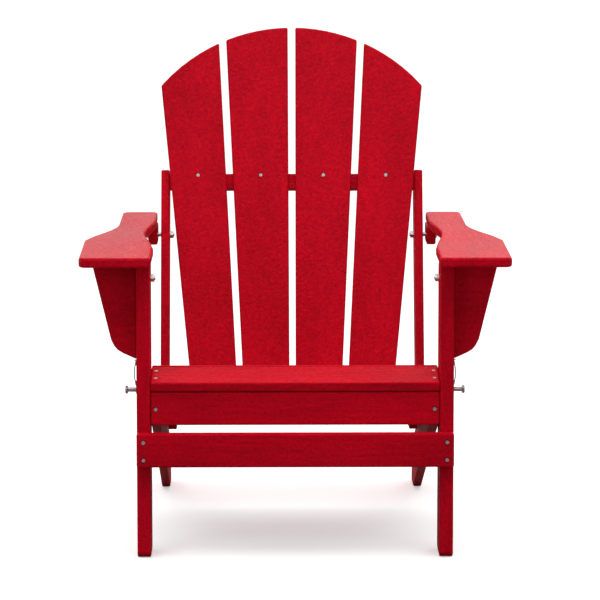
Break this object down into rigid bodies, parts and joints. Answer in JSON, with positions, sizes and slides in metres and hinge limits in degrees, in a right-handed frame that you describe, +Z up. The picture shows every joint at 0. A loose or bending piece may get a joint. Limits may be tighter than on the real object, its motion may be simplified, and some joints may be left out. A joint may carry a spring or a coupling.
{
  "type": "folding adirondack chair",
  "caption": "Red plastic lumber folding lounge chair with a fanned slat back, wide scooped arms, sloped slat seat and two lock pins on cords.",
  "frame": {"origin": "on the floor, under the middle of the chair's outline", "axes": "+Z up, -Y to the front where the sitter's feet go, +X to the sitter's left, which is the viewer's right from the front"},
  "size_m": [0.78, 0.8045, 0.9204],
  "materials": {
    "red_plastic_lumber": "satin, fine pebbled grain",
    "stainless_steel": "satin",
    "steel_cord": "fine twisted cable"
  },
  "bodies": {
    "seat_frame": {"back_pivot_left_bolt": "stainless_steel", "back_pivot_right_bolt": "stainless_steel", "front_board": "red_plastic_lumber", "front_board_screw_left": "stainless_steel", "front_board_screw_right": "stainless_steel", "seat_brace": "red_plastic_lumber", "seat_rail_left": "red_plastic_lumber", "seat_rail_right": "red_plastic_lumber", "seat_screw_front_left": "stainless_steel", "seat_screw_front_right": "stainless_steel", "seat_screw_rear_left": "stainless_steel", "seat_screw_rear_right": "stainless_steel", "seat_slat_1": "red_plastic_lumber", "seat_slat_2": "red_plastic_lumber", "seat_slat_3": "red_plastic_lumber", "seat_slat_4": "red_plastic_lumber", "seat_slat_5": "red_plastic_lumber"},
    "back_frame": {"arm_pivot_left_nut": "stainless_steel", "arm_pivot_right_nut": "stainless_steel", "back_pivot_left_nut": "stainless_steel", "back_pivot_right_nut": "stainless_steel", "back_rail_low": "red_plastic_lumber", "back_rail_top": "red_plastic_lumber", "back_screw_inner_left": "stainless_steel", "back_screw_inner_right": "stainless_steel", "back_screw_outer_left": "stainless_steel", "back_screw_outer_right": "stainless_steel", "back_slat_inner_left": "red_plastic_lumber", "back_slat_inner_right": "red_plastic_lumber", "back_slat_outer_left": "red_plastic_lumber", "back_slat_outer_right": "red_plastic_lumber", "back_upright_left": "red_plastic_lumber", "back_upright_right": "red_plastic_lumber", "hinge_plate_left": "red_plastic_lumber", "hinge_plate_right": "red_plastic_lumber"},
    "arms": {"arm_bracket_left": "red_plastic_lumber", "arm_bracket_right": "red_plastic_lumber", "arm_cleat_front_left": "red_plastic_lumber", "arm_cleat_front_right": "red_plastic_lumber", "arm_cleat_rear_left": "red_plastic_lumber", "arm_cleat_rear_right": "red_plastic_lumber", "arm_left": "red_plastic_lumber", "arm_pivot_left_bolt": "stainless_steel", "arm_pivot_right_bolt": "stainless_steel", "arm_right": "red_plastic_lumber", "leg_pivot_left_bolt": "stainless_steel", "leg_pivot_right_bolt": "stainless_steel"},
    "front_legs": {"front_leg_left": "red_plastic_lumber", "front_leg_right": "red_plastic_lumber", "front_stretcher": "red_plastic_lumber", "leg_pivot_left_nut": "stainless_steel", "leg_pivot_right_nut": "stainless_steel", "pin_cord_left": "steel_cord", "pin_cord_right": "steel_cord", "stretcher_screw_high_left": "stainless_steel", "stretcher_screw_high_right": "stainless_steel", "stretcher_screw_low_left": "stainless_steel", "stretcher_screw_low_right": "stainless_steel"},
    "lock_pin_left": {"lock_pin_left": "stainless_steel"},
    "lock_pin_right": {"lock_pin_right": "stainless_steel"}
  },
  "joints": [
    {"name": "back_fold", "type": "hinge", "parent": "seat_frame", "child": "back_frame", "pos_m": [0, 0.08371, 0.17872], "axis": [1, 0, 0], "range_deg": [0, 88]},
    {"name": "arm_fold", "type": "hinge", "parent": "back_frame", "child": "arms", "pos_m": [0, 0.27995, 0.517], "axis": [1, 0, 0], "range_deg": [-108, 0]},
    {"name": "leg_fold", "type": "hinge", "parent": "arms", "child": "front_legs", "pos_m": [0, -0.2925, 0.505], "axis": [1, 0, 0], "range_deg": [0, 90]},
    {"name": "pin_slide_left", "type": "slide", "parent": "front_legs", "child": "lock_pin_left", "axis": [-1, 0, 0], "range_m": [-0.0133, 0.01]},
    {"name": "pin_slide_right", "type": "slide", "parent": "front_legs", "child": "lock_pin_right", "axis": [1, 0, 0], "range_m": [-0.0133, 0.01]}
  ],
  "couplings": [
    {"joint": "arm_fold", "follows": "back_fold", "ratio": -1.2272},
    {"joint": "leg_fold", "follows": "back_fold", "ratio": 1.0227}
  ]
}
